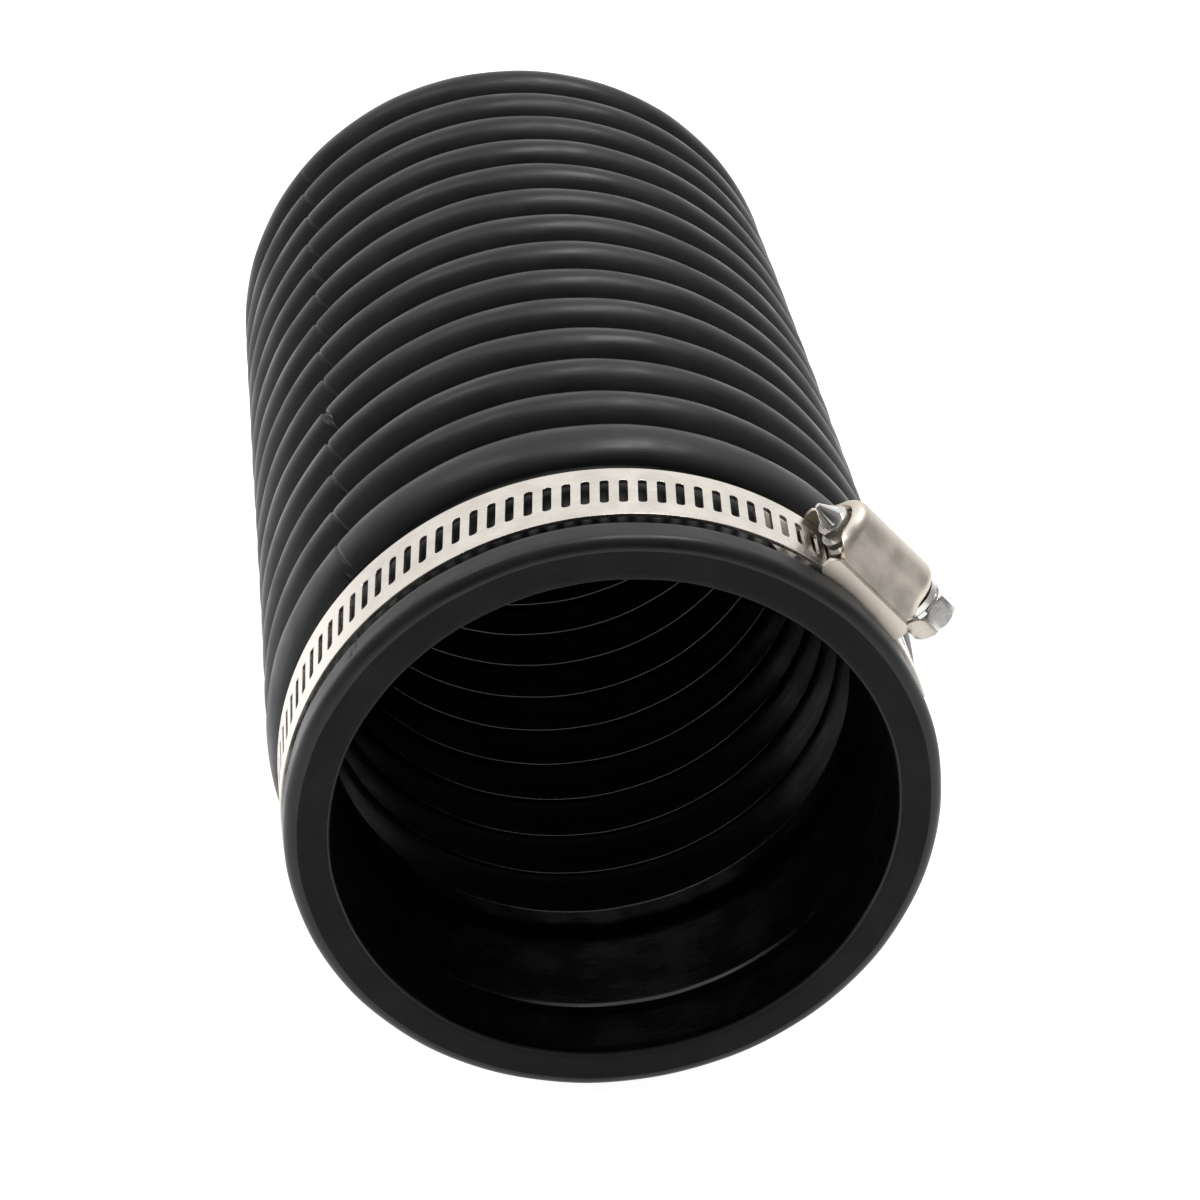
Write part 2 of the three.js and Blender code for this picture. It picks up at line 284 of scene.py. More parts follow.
class Look(Graph):
    """A material whose patterns come from the piece's own coordinates."""

    def __init__(self, name, **values):
        self.material = bpy.data.materials.new(name)
        self.material.use_nodes = True
        super().__init__(self.material.node_tree, "Object")
        self.shader = self.tree.nodes["Principled BSDF"]
        for key, value in values.items():
            self.shader.inputs[key].default_value = value

    def drive(self, name, value):
        self.connect(value, self.shader.inputs[name])

    def relief(self, *layers):
        """Bumps on bumps. Each layer is a pattern and its height in metres."""
        normal = None
        for pattern, height in layers:
            node = self.add("ShaderNodeBump", Height=pattern, Distance=height, Strength=1.0)
            if normal:
                self.connect(normal, node.inputs["Normal"])
            normal = node.outputs[0]
        self.connect(normal, self.shader.inputs["Normal"])


def rubber(name, dark, light, gloss, shine, swelling):
    """Moulded black rubber: a little uneven in colour, gloss and surface, and dusty in patches."""
    look = Look(name, Metallic=0.0, **{"Specular IOR Level": shine})
    patches = look.noise(9 * MM, detail=4.0)
    fine = look.noise(0.35 * MM, detail=2.0)
    drawn = look.noise(0.5 * MM, detail=2.0, vector=look.along_the_band(stretch=14))
    swell = look.noise(5 * MM, detail=2.0)
    dust = look.spread(look.noise(16 * MM, detail=6.0), 0.5, 0.75, 0.0, 0.35)
    clean = look.mix(patches, dark, light)
    look.drive("Base Color", look.mix(dust, clean, [2 * value for value in light]))
    uneven = look.spread(patches, 0.3, 0.7, gloss - 0.07, gloss + 0.07)
    look.drive("Roughness", look.math("ADD", uneven, look.spread(drawn, 0.35, 0.65, -0.03, 0.03)))
    look.relief((swell, swelling), (drawn, 0.006 * MM), (fine, 0.010 * MM))
    return look.material


def steel(name, dark, light, roughness, marks, grain):
    """Stainless steel: drawn marks of a given length along the band, stains and a fine grain."""
    look = Look(name, Metallic=1.0)
    lines = look.noise(0.16 * MM, detail=3.0, vector=look.along_the_band(stretch=marks))
    stains = look.noise(3.5 * MM, detail=5.0)
    fine = look.noise(0.12 * MM, detail=2.0)
    tone = look.math("ADD", look.math("MULTIPLY", stains, 0.65), look.math("MULTIPLY", lines, 0.35))
    look.drive("Base Color", look.mix(look.spread(tone, 0.35, 0.65, 0.0, 1.0), dark, light))
    smooth = look.spread(stains, 0.3, 0.7, roughness - 0.05, roughness + 0.06)
    look.drive("Roughness", look.math("ADD", smooth, look.spread(lines, 0.3, 0.7, -0.04, 0.04)))
    look.relief((stains, 0.010 * MM), (lines, 0.0012 * MM), (fine, grain))
    return look.material


DARK_RUBBER = (0.0085, 0.0088, 0.0098)
LIGHT_RUBBER = (0.0125, 0.0130, 0.0142)
RUBBER = rubber("rubber", DARK_RUBBER, LIGHT_RUBBER, 0.40, 0.34, 0.05 * MM)
END_RUBBER = rubber("end_rubber", DARK_RUBBER, LIGHT_RUBBER, 0.75, 0.14, 0.03 * MM)
# Painted shade: the bore's rubber gets a far darker colour than the outside's, standing in for the shade
# inside the sleeve.
BORE_RUBBER_PAINTED_SHADE = rubber("bore_rubber_painted_shade", (0.003, 0.003, 0.0032), (0.004, 0.004, 0.0043), 0.27, 0.18, 0.012 * MM)
BAND_STEEL = steel("band_steel", (0.65, 0.605, 0.545), (0.75, 0.705, 0.64), 0.27, 30, 0.0006 * MM)
HOUSING_STEEL = steel("housing_steel", (0.61, 0.55, 0.48), (0.745, 0.675, 0.595), 0.45, 3, 0.0020 * MM)
SCREW_STEEL = steel("screw_steel", (0.68, 0.665, 0.64), (0.84, 0.825, 0.795), 0.28, 2, 0.0012 * MM)

# ---- Sleeve -------------------------------------------------------------------------------------
#
# The sleeve is one grid: rows go along a closed outline, out along the outside and back along the bore,
# and columns go round the axis. Each piece takes the rows between two crests, so it shares its end rows
# with the next piece.

SLIT = 0.25 * MM  # half of what is left open at the bottom of a valley
VALLEY_DEPTH = 7.0 * MM
FOLD_STEPS = 9  # rows from a crest to a valley
GROOVE_DEPTH = 6.7 * MM  # of the bore's grooves, behind the crests
RIDGE_ROUNDNESS = 0.35  # of the ridges between those grooves: 0 is sharp

RIM_ROUNDING = 2.0 * MM
MOUTH_ROUNDING = 0.4 * MM
RIM_WIDTH = 5.1 * MM
GROOVE_START = 5.9 * MM
GROOVE_END = 25.4 * MM
SEAL_DEPTH = 11.6 * MM
SEAL_HEIGHT = 0.5 * MM
SEAL_WIDTH = 0.9 * MM
SEAL_REACH = 2 * MM  # where its rows are close together
REAR_ROUNDING = 1.0 * MM
LEDGE = np.array((0.1 * MM, 1.3 * MM))  # start and end of the pipe stop, past a shoulder's crest

OUTSIDE_SLOT, BORE_SLOT, END_SLOT = range(3)  # each sleeve piece's materials, in this order

PARTING_ANGLE = math.radians(139.5)
PARTING_LINES = (PARTING_ANGLE, PARTING_ANGLE - math.pi)
PARTING_GROOVE = 0.16 * MM
PARTING_GROOVE_WIDTH = 0.26 * MM
PARTING_STEP = 0.035 * MM
PARTING_STEP_WIDTH = 0.2 * MM
PARTING_STEP_REACH = 3.2 * MM
NICK_DEPTH = 0.5 * MM
NICK_WIDTH = 0.3 * MM
NICK_LENGTH = 2.2 * MM
NICK_PLACE = 2.4 * MM  # behind each crest
FLASH_CREST = 4  # just in front of this crest, a sliver of flash was left on the parting line
FLASH_PLACE = -2.0 * MM  # from that crest
FLASH_HEIGHT = 1.2 * MM
FLASH_THICKNESS = 0.2 * MM
FLASH_LENGTH = 0.7 * MM
FLASH_OFFSET = 0.9 * MM  # round the sleeve, from the line
TORN_DEPTH = 0.8 * MM  # of the dent that the flash was torn from
TORN_WIDTH = 0.5 * MM
TORN_LENGTH = 1.5 * MM
TORN_PLACE = 1.6 * MM  # behind the flash

EVEN_COLUMNS = 240
FINE_COLUMNS = 49  # across each parting line
FINE_REACH = 3.6  # degrees to each side of it
COLUMN_GAP = 0.01  # radians kept clear between the two kinds


def fold_outside():
    """(y, radius) rows from one crest to the next, without the first."""
    half = PITCH / 2 - SLIT
    turns = np.linspace(0, QUARTER_TURN, FOLD_STEPS + 1)
    ys = half * np.sin(turns)
    rs = CREST - VALLEY_DEPTH * (1 - np.cos(turns))
    down = list(zip(ys, rs))
    up = [(PITCH - y, r) for y, r in reversed(down)]
    return (down + up)[1:]


def rounded_edge(outside, rounding, steps):
    """(depth, radius) rows over the outer edge of an end face."""
    turns = np.linspace(-QUARTER_TURN, 0, steps)
    return [
        (rounding * (1 + math.sin(turn)), outside - rounding * (1 - math.cos(turn)))
        for turn in turns
    ]


def shoulder(foot, start, crest, steps):
    """(depth, radius) rows that rise from a foot to the crest of a shoulder, without the first."""
    return [
        (start + (crest - start) * (1 + math.sin(turn)), foot + (CREST - foot) * math.cos(turn))
        for turn in np.linspace(-QUARTER_TURN, 0, steps)[1:]
    ]


def end_face(edge_start, steps):
    """(depth, radius) rows across an end face, up to where its outer edge is rounded."""
    return [(0, radius) for radius in np.linspace(BORE + MOUTH_ROUNDING, edge_start, steps)[:-1]]


def front_outside():
    """(depth, radius) rows from the mouth's edge, over the rim and the clamp's groove, to the shoulder."""
    rim = rounded_edge(RIM, RIM_ROUNDING, 9)
    bead = [(depth, RIM) for depth in np.linspace(RIM_ROUNDING, RIM_WIDTH, 5)[1:]]
    slope = [
        (RIM_WIDTH + part * (GROOVE_START - RIM_WIDTH), RIM - (RIM - GROOVE) * smoothstep(part, 0, 1))
        for part in np.linspace(0, 1, 7)[1:]
    ]
    groove = [(depth, GROOVE) for depth in np.linspace(GROOVE_START, GROOVE_END, 13)[1:]]
    rise = shoulder(GROOVE, GROOVE_END, FRONT_SHOULDER, 15)
    return end_face(rim[0][1], 6) + rim + bead + slope + groove + rise


def rear_outside():
    """(depth, radius) rows from the rear mouth's edge to the rear shoulder."""
    edge = rounded_edge(REAR_RADIUS, REAR_ROUNDING, 7)
    start = REAR_SHOULDER - (PITCH / 2 - SLIT)
    plain = [(depth, REAR_RADIUS) for depth in np.linspace(REAR_ROUNDING, start, 6)[1:]]
    return end_face(edge[0][1], 4) + edge + plain + shoulder(REAR_RADIUS, start, REAR_SHOULDER, 10)


def front_bore(depth):
    seal = SEAL_HEIGHT * bump_at(depth - SEAL_DEPTH, SEAL_WIDTH)
    return BORE - seal - (BORE - RIDGE) * smoothstep(depth, *LEDGE + FRONT_SHOULDER)


def rear_bore(depth):
    return BORE - (BORE - RIDGE) * smoothstep(depth, *LEDGE + REAR_SHOULDER)


def bore_radius(y):
    """Radius of the bore between the shoulders: ridges under the valleys, grooves behind the crests."""
    if y < crest_y(0) + PITCH / 2:
        return front_bore(y - FRONT)
    if y > crest_y(LAST_CREST) - PITCH / 2:
        return rear_bore(REAR - y)
    across = math.cos(math.pi * (y - crest_y(0)) / PITCH) ** 2
    floor = math.sqrt(RIDGE_ROUNDNESS)
    groove = (math.sqrt(across + RIDGE_ROUNDNESS) - floor) / (math.sqrt(1 + RIDGE_ROUNDNESS) - floor)
    return RIDGE + GROOVE_DEPTH * groove


def front_bore_depths():
    """Depths of the front bore's rows, from the shoulder's crest to the mouth's edge."""
    plain = np.linspace(FRONT_SHOULDER, SEAL_DEPTH + SEAL_REACH, 8)
    seal = np.linspace(SEAL_DEPTH + SEAL_REACH, SEAL_DEPTH - SEAL_REACH, 17)[1:]
    mouth = np.linspace(SEAL_DEPTH - SEAL_REACH, MOUTH_ROUNDING, 6)[1:]
    return [*plain, *seal, *mouth]


def outline():
    """The sleeve's closed outline, its rows at each crest outside and inside, and the bore's first row."""
    rows = [(FRONT + depth, radius) for depth, radius in front_outside()]
    outer = [len(rows) - 1]
    for crest in range(LAST_CREST):
        rows += [(crest_y(crest) + y, radius) for y, radius in fold_outside()]
        outer.append(len(rows) - 1)
    rows += [(REAR - depth, radius) for depth, radius in reversed(rear_outside()[:-1])]
    bore_start = len(rows)
    rows += [(REAR - depth, rear_bore(depth)) for depth in np.linspace(MOUTH_ROUNDING, REAR_SHOULDER, 7)]
    inner = [len(rows) - 1]
    for crest in reversed(range(LAST_CREST)):
        for part in np.linspace(1, -1, 17)[1:]:
            y = crest_y(crest) + PITCH / 2 * (1 + math.copysign(abs(part) ** 1.5, part))
            rows.append((y, bore_radius(y)))
        inner.append(len(rows) - 1)
    rows += [(FRONT + depth, front_bore(depth)) for depth in front_bore_depths()[1:]]
    return np.array(rows), outer, inner[::-1], bore_start


def column_angles():
    """Angles of the columns, close together at the parting lines."""
    fine = np.radians(np.linspace(-FINE_REACH, FINE_REACH, FINE_COLUMNS))
    kept = np.linspace(-math.pi, math.pi, EVEN_COLUMNS, endpoint=False)
    for line in PARTING_LINES:
        kept = kept[np.abs(kept - line) > fine[-1] + COLUMN_GAP]
    return np.sort(np.concatenate([kept, *(line + fine for line in PARTING_LINES)]))


# Each wave of the wall: its height, waves round the sleeve, radians per metre along it, and its phase.
WAVES = (
    (0.07 * MM, 2, 31, 0.0),
    (0.05 * MM, 5, -47, 1.3),
    (0.025 * MM, 13, 160, 0.4),
    (0.02 * MM, 23, -90, 0.0),
)


def unevenness(angle, y):
    """How far the wall wanders in and out, as moulded rubber does."""
    return sum(
        height * np.sin(around * angle + along * y + phase)
        for height, around, along, phase in WAVES
    )


def parting_marks(angle, y):
    """The mould's parting lines on the outside: a fine groove, a step, nicks behind the crests and flash."""
    rib = np.round((y - crest_y(0)) / PITCH)
    behind = y - crest_y(0) - rib * PITCH
    marks = np.zeros(np.broadcast(angle, y).shape)
    for number, line in enumerate(PARTING_LINES):
        shift = 0.35 * MM * np.sin(2.1 * rib + number) + 0.16 * behind
        arc = CREST * (angle - line) - shift
        near = bump_at(arc, PARTING_STEP_REACH)
        marks -= PARTING_GROOVE * bump_at(arc, PARTING_GROOVE_WIDTH)
        marks += PARTING_STEP * np.tanh(arc / PARTING_STEP_WIDTH) * near
        depth = NICK_DEPTH * (0.25 + 0.75 * bump_at(rib - FLASH_CREST, 3.2)) * (0.7 + 0.3 * np.sin(5 * rib))
        marks -= depth * bump_at(behind - NICK_PLACE, NICK_LENGTH) * bump_at(arc, NICK_WIDTH)
    arc = CREST * (angle - PARTING_ANGLE)
    past = y - crest_y(FLASH_CREST) - FLASH_PLACE
    marks += FLASH_HEIGHT * bump_at(arc + FLASH_OFFSET, FLASH_THICKNESS) * bump_at(past, FLASH_LENGTH)
    marks -= TORN_DEPTH * bump_at(arc, TORN_WIDTH) * bump_at(past - TORN_PLACE, TORN_LENGTH)
    return marks


def sleeve():
    rows, outer, inner, bore_start = outline()
    angles = column_angles()
    ys, rs = rows[:, :1], rows[:, 1:]
    wander = unevenness(angles, ys)
    marked = parting_marks(angles, ys)
    outside = (np.arange(len(rows)) <= outer[-1])[:, None] & (ys > FRONT + RIM_ROUNDING)
    spread = rs + wander + np.where(outside, marked, 0)
    points = np.stack([spread * np.cos(angles), ys + 0 * angles, spread * np.sin(angles)], axis=2)
    along = np.roll(points, -1, axis=0) - np.roll(points, 1, axis=0)
    around = np.roll(points, -1, axis=1) - np.roll(points, 1, axis=1)
    normals = np.cross(along, around)
    normals /= np.linalg.norm(normals, axis=2, keepdims=True)

    in_bore = np.arange(len(rows)) >= bore_start
    on_end = (rows[:, 0] == FRONT) | (rows[:, 0] == REAR)

    def skin(name, numbers):
        taken = points[numbers].reshape(-1, 3)
        faces = grid_faces(len(numbers), len(angles), rows_closed=True, columns_closed=True)
        piece = new_piece(name, taken, faces, RUBBER)
        piece.data.materials.append(BORE_RUBBER_PAINTED_SHADE)
        piece.data.materials.append(END_RUBBER)
        after = np.roll(numbers, -1)
        slots = np.full(len(numbers), OUTSIDE_SLOT)
        # The bore's faces take the rubber whose darker colour is painted shade.
        slots[in_bore[numbers] & in_bore[after]] = BORE_SLOT
        slots[on_end[numbers] & on_end[after]] = END_SLOT
        piece.data.polygons.foreach_set("material_index", np.repeat(slots, len(angles)))
        piece.data.normals_split_custom_set_from_vertices(normals[numbers].reshape(-1, 3).tolist())
        return piece

    front = skin("front_cuff_rubber", [*range(inner[0], len(rows)), *range(outer[0] + 1)])
    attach(front, "front_cuff")
    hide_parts("front_cuff")
    rear = skin("rear_cuff_rubber", [*range(outer[-1], inner[-1] + 1)])
    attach(rear, "rear_cuff")
    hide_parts("rear_cuff")
    for valley in range(LAST_CREST):
        numbers = [*range(outer[valley], outer[valley + 1] + 1), *range(inner[valley + 1], inner[valley] + 1)]
        fold = skin(f"fold_{valley + 1:02d}_rubber", numbers)
        before, after = SLEEVE[valley], SLEEVE[valley + 1]
        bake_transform(fold)
        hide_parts(*(name for name in (before, after) if name in RINGS))


sleeve()

# ---- Clamp --------------------------------------------------------------------------------------


def on_clamp(points):
    """From the clamp's own frame to its place."""
    x, y, z = np.asarray(points, float).T
    sine, cosine = math.sin(CLAMP_TURN), math.cos(CLAMP_TURN)
    return np.column_stack([x * cosine + z * sine, y + CLAMP_Y, z * cosine - x * sine])


def clamp_piece(name, points, faces, material):
    piece = new_piece(name, on_clamp(points), faces, material)
    return piece


# The band is one strip. Places along it are in slot pitches from the housing's middle, negative towards
# the underside, so the strip starts under the housing, a whole turn before its slotted tail.

SLOT_WIDTH = 1.35 * MM
SLOT_LENGTH = 6.8 * MM
SLOT_CORNER = 0.5 * MM
SLOT_LEAN = SLOT_PITCH / (FULL_TURN * WORM_RADIUS)
CORNER_STEPS = 4
ONE_TURN = FULL_TURN / SLOT_ANGLE
STRIP_START = math.radians(5) / SLOT_ANGLE - ONE_TURN
FIRST_SLOT = -88
BEND_START = -82  # start of the underside stretch, between the fixed start and the slotted tail
BEND_END = -31
LAST_SLOT = 7
STRIP_RISE = (-215, -150)  # degrees between which the strip rises over its own start
SADDLE_CLEAR = (-340, -328)  # degrees between which its start comes down from the saddle
SADDLE_LIFT = 0.3 * MM


def strip_inside(place):
    """Inner radius of the strip. It stands off the sleeve on the way up to its own start, which it covers."""
    angle = np.degrees(place * SLOT_ANGLE)
    over = smoothstep(angle, *STRIP_RISE) * (BAND_OVER - BAND_INSIDE)
    on_saddle = (1 - smoothstep(angle, *SADDLE_CLEAR)) * SADDLE_LIFT
    return BAND_INSIDE + over + on_saddle


def slot_outline():
    """Points round a slot, in pitches along and metres across, with the edge of its cell beside each."""
    side = SLOT_LENGTH / 2 - SLOT_CORNER
    points = []
    for along_side, across_side in ((1, 1), (-1, 1), (-1, -1), (1, -1)):
        start = 0 if along_side == across_side else QUARTER_TURN
        for step in range(CORNER_STEPS + 1):
            turn = start + (1 if start == 0 else -1) * QUARTER_TURN * step / CORNER_STEPS
            across = across_side * (side + SLOT_CORNER * math.sin(turn))
            along = along_side * (SLOT_WIDTH / 2 - SLOT_CORNER * (1 - math.cos(turn)))
            share = round(turn / QUARTER_TURN * CORNER_STEPS)
            beside = (along_side * 0.5 * math.cos(turn), across_side * BAND_HALF_WIDTH)
            if share == 0:
                beside = (along_side * 0.5, across_side * side)
            if share == 1:
                beside = (along_side * 0.5, across_side * BAND_HALF_WIDTH)
            points.append((((along + SLOT_LEAN * across) / SLOT_PITCH, across), beside))
    return points


class Strip:
    """Faces of a stretch of the band, whose points are welded as they are added."""

    def __init__(self):
        self.points = []
        self.numbers = {}
        self.faces = []

    def number(self, place, across, outside):
        key = (round(place, 5), round(across * 1e6), outside)
        if key not in self.numbers:
            radius = strip_inside(place) + (BAND_THICKNESS if outside else 0)
            angle = place * SLOT_ANGLE
            self.numbers[key] = len(self.points)
            self.points.append((radius * math.sin(angle), across, radius * math.cos(angle)))
        return self.numbers[key]

    def both_faces(self, corners):
        self.face([self.number(*corner, True) for corner in corners])
        self.face([self.number(*corner, False) for corner in reversed(corners)])

    def wall(self, a, b):
        self.face([
            self.number(*a, False), self.number(*b, False), self.number(*b, True), self.number(*a, True)
        ])

    def face(self, numbers):
        kept = [n for i, n in enumerate(numbers) if n != numbers[i - 1]]
        if len(kept) > 2:
            self.faces.append(kept)

    def plain(self, start, end):
        side = SLOT_LENGTH / 2 - SLOT_CORNER
        levels = (-BAND_HALF_WIDTH, -side, side, BAND_HALF_WIDTH)
        for low, high in zip(levels, levels[1:]):
            self.both_faces([(start, low), (end, low), (end, high), (start, high)])
        self.wall((start, -BAND_HALF_WIDTH), (end, -BAND_HALF_WIDTH))
        self.wall((end, BAND_HALF_WIDTH), (start, BAND_HALF_WIDTH))

    def slotted(self, cell):
        ring = [((cell + a, b), (cell + c, d)) for (a, b), (c, d) in slot_outline()]
        for (slot, edge), (slot_after, edge_after) in zip(ring, ring[1:] + ring[:1]):
            self.both_faces([edge, edge_after, slot_after, slot])
            self.wall(slot_after, slot)
            if edge[1] == edge_after[1] and abs(edge[1]) == BAND_HALF_WIDTH:
                self.wall(edge, edge_after)

    def end_wall(self, place, facing):
        side = SLOT_LENGTH / 2 - SLOT_CORNER
        levels = [-BAND_HALF_WIDTH, -side, side, BAND_HALF_WIDTH][::facing]
        for a, b in zip(levels, levels[1:]):
            self.wall((place, a), (place, b))


def band():
    """Three stretches of one strip: its fixed start, the underside, and the slotted end that travels."""
    fixed = Strip()
    plain_places = np.linspace(STRIP_START, FIRST_SLOT - 0.5, 30)
    for start, after in zip(plain_places, plain_places[1:]):
        fixed.plain(start, after)
    fixed.end_wall(plain_places[0], -1)
    for cell in range(FIRST_SLOT, BEND_START + 1):
        fixed.slotted(cell)
    underside = Strip()
    for cell in range(BEND_START + 1, BEND_END):
        underside.slotted(cell)
    travelling = Strip()
    for cell in range(BEND_END, LAST_SLOT + 1):
        travelling.slotted(cell)
    travelling.end_wall(LAST_SLOT + 0.5, 1)

    def strip_piece(name, strip):
        piece = clamp_piece(name, strip.points, strip.faces, BAND_STEEL)
        return edges_rounded(piece, 0.09 * MM)

    start = strip_piece("band_start", fixed)
    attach(start, "clamp")
    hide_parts("band_fixed_end")
    under = strip_piece("band_underside", underside)
    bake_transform(under)
    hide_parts("band_slotted_end")
    tail = strip_piece("band_tail", travelling)
    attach(tail, "band")
    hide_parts("band_slotted_end")


SADDLE_INSIDE = GROOVE + 0.1 * MM
SADDLE_THICKNESS = 0.4 * MM
SADDLE_START = math.radians(-18.8)
SADDLE_END = math.radians(17.5)
SADDLE_HALF_WIDTH = HOUSING_HALF_WIDTH - 0.1 * MM
SADDLE_CORNER = 3.6 * MM
SADDLE_STEPS = 41
TURNED_UP = 0.45 * MM
TURNED_WIDTH = 1.6 * MM


def saddle():
    """The plate that lies on the rubber under the housing, round-cornered, with its edges turned up."""
    points = []
    acrosses = SADDLE_HALF_WIDTH * np.sin(np.linspace(-QUARTER_TURN, QUARTER_TURN, SADDLE_STEPS))
    shares = (1 - np.cos(np.linspace(0, math.pi, SADDLE_STEPS))) / 2
    for across in acrosses:
        beyond = max(0, abs(across) - (SADDLE_HALF_WIDTH - SADDLE_CORNER))
        inset = SADDLE_CORNER - math.sqrt(max(0, SADDLE_CORNER**2 - beyond**2))
        low = SADDLE_START + inset / SADDLE_INSIDE
        high = SADDLE_END - inset / SADDLE_INSIDE
        for share in shares:
            angle = low + share * (high - low)
            edge = smoothstep(abs(across), SADDLE_HALF_WIDTH - TURNED_WIDTH, SADDLE_HALF_WIDTH)
            radius = SADDLE_INSIDE + SADDLE_THICKNESS + TURNED_UP * edge
            points.append((radius * math.sin(angle), across, radius * math.cos(angle)))
    faces = [face[::-1] for face in grid_faces(len(acrosses), len(shares))]
    piece = clamp_piece("clamp_saddle", points, faces, SCREW_STEEL)
    edges_rounded(thickened(piece, SADDLE_THICKNESS), 0.1 * MM)
    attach(piece, "clamp")


HOUSING_WALL = 0.8 * MM
DOME_RADIUS = HOUSING_HIGH[2] - SCREW_HEIGHT
DOME_SPRING = math.pi / 7
FLANK_TOP = BAND_OVER + BAND_THICKNESS + 2.2 * MM
SHOULDER = 1.9 * MM  # rounding of the housing's ends
FLANK_CORNER = 1.7 * MM
NOTCH_DEPTH = 1.7 * MM
NOTCH_HALF_HEIGHT = 1.5 * MM
FOOT_GAP = 0.05 * MM
CREASE_START = 0.25 * MM  # below the flank's top
CREASE_DEPTH = 0.22 * MM
SLOPE_DEPTH = 0.12 * MM
SLOPE_RISE = 0.3 * MM
SLOPE_HOLLOW = 0.25 * MM
END_ROUNDING_RISE = 3 * MM  # above the flank's top, over which the rounding of the ends comes in


def housing_section():
    """(across, height) points over half of the housing, from its foot to its top."""
    foot = HOUSING_LOW[2] + FOOT_GAP
    flank = [(HOUSING_HALF_WIDTH, height) for height in np.linspace(foot, FLANK_TOP - CREASE_START, 18)]
    crease = (HOUSING_HALF_WIDTH - CREASE_DEPTH, FLANK_TOP)
    dome_start = (DOME_RADIUS * math.cos(DOME_SPRING), SCREW_HEIGHT + DOME_RADIUS * math.sin(DOME_SPRING))
    slope_start = (HOUSING_HALF_WIDTH - SLOPE_DEPTH, FLANK_TOP + SLOPE_RISE)
    slope = []
    for share in np.linspace(0, 1, 9)[:-1]:
        across = slope_start[0] + share * (dome_start[0] - slope_start[0])
        height = slope_start[1] + share * (dome_start[1] - slope_start[1])
        hollow = SLOPE_HOLLOW * math.sin(math.pi * share)
        slope.append((across - hollow, height - hollow))
    dome = [
        (DOME_RADIUS * math.cos(turn), SCREW_HEIGHT + DOME_RADIUS * math.sin(turn))
        for turn in np.linspace(DOME_SPRING, QUARTER_TURN, 16)
    ]
    return [*flank, crease, *slope, *dome]


def housing_reach(height):
    """How far the housing reaches along the screw: its flanks have round corners, and notches over them."""
    low = max(0, HOUSING_LOW[2] + FLANK_CORNER - height)
    corner = FLANK_CORNER - math.sqrt(max(0, FLANK_CORNER**2 - low**2))
    notch = NOTCH_DEPTH * max(0, 1 - abs(height - FLANK_TOP - SLOPE_RISE) / NOTCH_HALF_HEIGHT)
    return HOUSING_HALF_LENGTH - corner - notch


def housing():
    """A pressed shell: a dome over the worm between two upright flanks."""
    half = housing_section()
    section = half + [(-across, height) for across, height in reversed(half[:-1])]
    shares = np.sin(np.linspace(-QUARTER_TURN, QUARTER_TURN, 41))
    points = []
    for across, height in section:
        reach = housing_reach(height)
        pull = smoothstep(height, FLANK_TOP, FLANK_TOP + END_ROUNDING_RISE)
        for share in shares:
            x = reach * share
            past = max(0, abs(x) - (HOUSING_HALF_LENGTH - SHOULDER))
            inset = pull * (SHOULDER - math.sqrt(max(0, SHOULDER**2 - past**2))) / DOME_RADIUS
            points.append((x, across * (1 - inset), height + (SCREW_HEIGHT - height) * inset))
    faces = grid_faces(len(section), len(shares))
    piece = clamp_piece("clamp_shell", points, faces, HOUSING_STEEL)
    edges_rounded(thickened(piece, HOUSING_WALL), 0.16 * MM)
    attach(piece, "clamp")
    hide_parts("clamp_housing")


SCREW_SIDES = 72
JOURNAL = 2.7 * MM
WORM_END = HOUSING_HALF_LENGTH - 1.2 * MM
THREAD_DEPTH = 0.7 * MM
TOOTH_PLACE = 0.75  # of a turn: puts a tooth under the screw's middle
TOOTH_FLANK = (0.10, 0.24)  # start and end, in pitches from the tooth's middle
THREAD_FADE = 0.8 * MM  # over which the thread runs out at its ends
POINT_LENGTH = 3.7 * MM
POINT_ROOT = 2.0 * MM
POINT_TIP = 0.45 * MM
POINT_FACETS = 0.36  # how much of the point's radius follows a hexagon
POINT_ROUND = 0.6
POINT_STEP = 0.1 * MM  # from the very tip to where its radius is POINT_TIP
NECK = JOURNAL + 0.7 * MM
LUG_HEIGHT = 0.9 * MM
LUG_EDGE = (0.2, 0.26)  # start and end, in radians from the lug's middle
COLLAR_START = HOUSING_HALF_LENGTH + 0.3 * MM
COLLAR_END = COLLAR_START + 1.1 * MM
HEAD_START = COLLAR_START + 1.8 * MM
HEAD_APOTHEM = 3.97 * MM
HEAD_CHAMFER = 0.7 * MM
DRIVER_SLOT_HALF_WIDTH = 0.6 * MM
DRIVER_SLOT_DEPTH = 1.3 * MM
DRIVER_SLOT_REACH = 6 * MM  # of the cutter, past the head's corners


def hexagon(turn):
    """Radius of a hexagon of apothem 1."""
    return 1 / math.cos((turn % (math.pi / 3)) - math.pi / 6)


def thread_radius(x, turn):
    """A right-handed thread, with a tooth under the screw's middle."""
    phase = (x / SLOT_PITCH - turn / FULL_TURN + TOOTH_PLACE + 0.5) % 1 - 0.5
    tooth = 1 - smoothstep(abs(phase), *TOOTH_FLANK)
    fade = 1 - smoothstep(abs(x), WORM_END - THREAD_FADE, WORM_END)
    return WORM_RADIUS - THREAD_DEPTH * (1 - tooth * fade)


def neck_radius(turn):
    """The neck between collar and head, with three lugs."""
    lug = 1 - smoothstep(abs((turn % (FULL_TURN / 3)) - math.pi / 3), *LUG_EDGE)
    return NECK + LUG_HEIGHT * lug


def head_radius(x, turn):
    """A hexagon whose corners are turned off at both ends."""
    corner = HEAD_APOTHEM * 2 / math.sqrt(3)
    from_end = min(x - HEAD_START, SCREW_HEAD - x)
    turned = corner - HEAD_CHAMFER + math.sqrt(max(0, HEAD_CHAMFER * from_end))
    return min(HEAD_APOTHEM * hexagon(turn), turned)


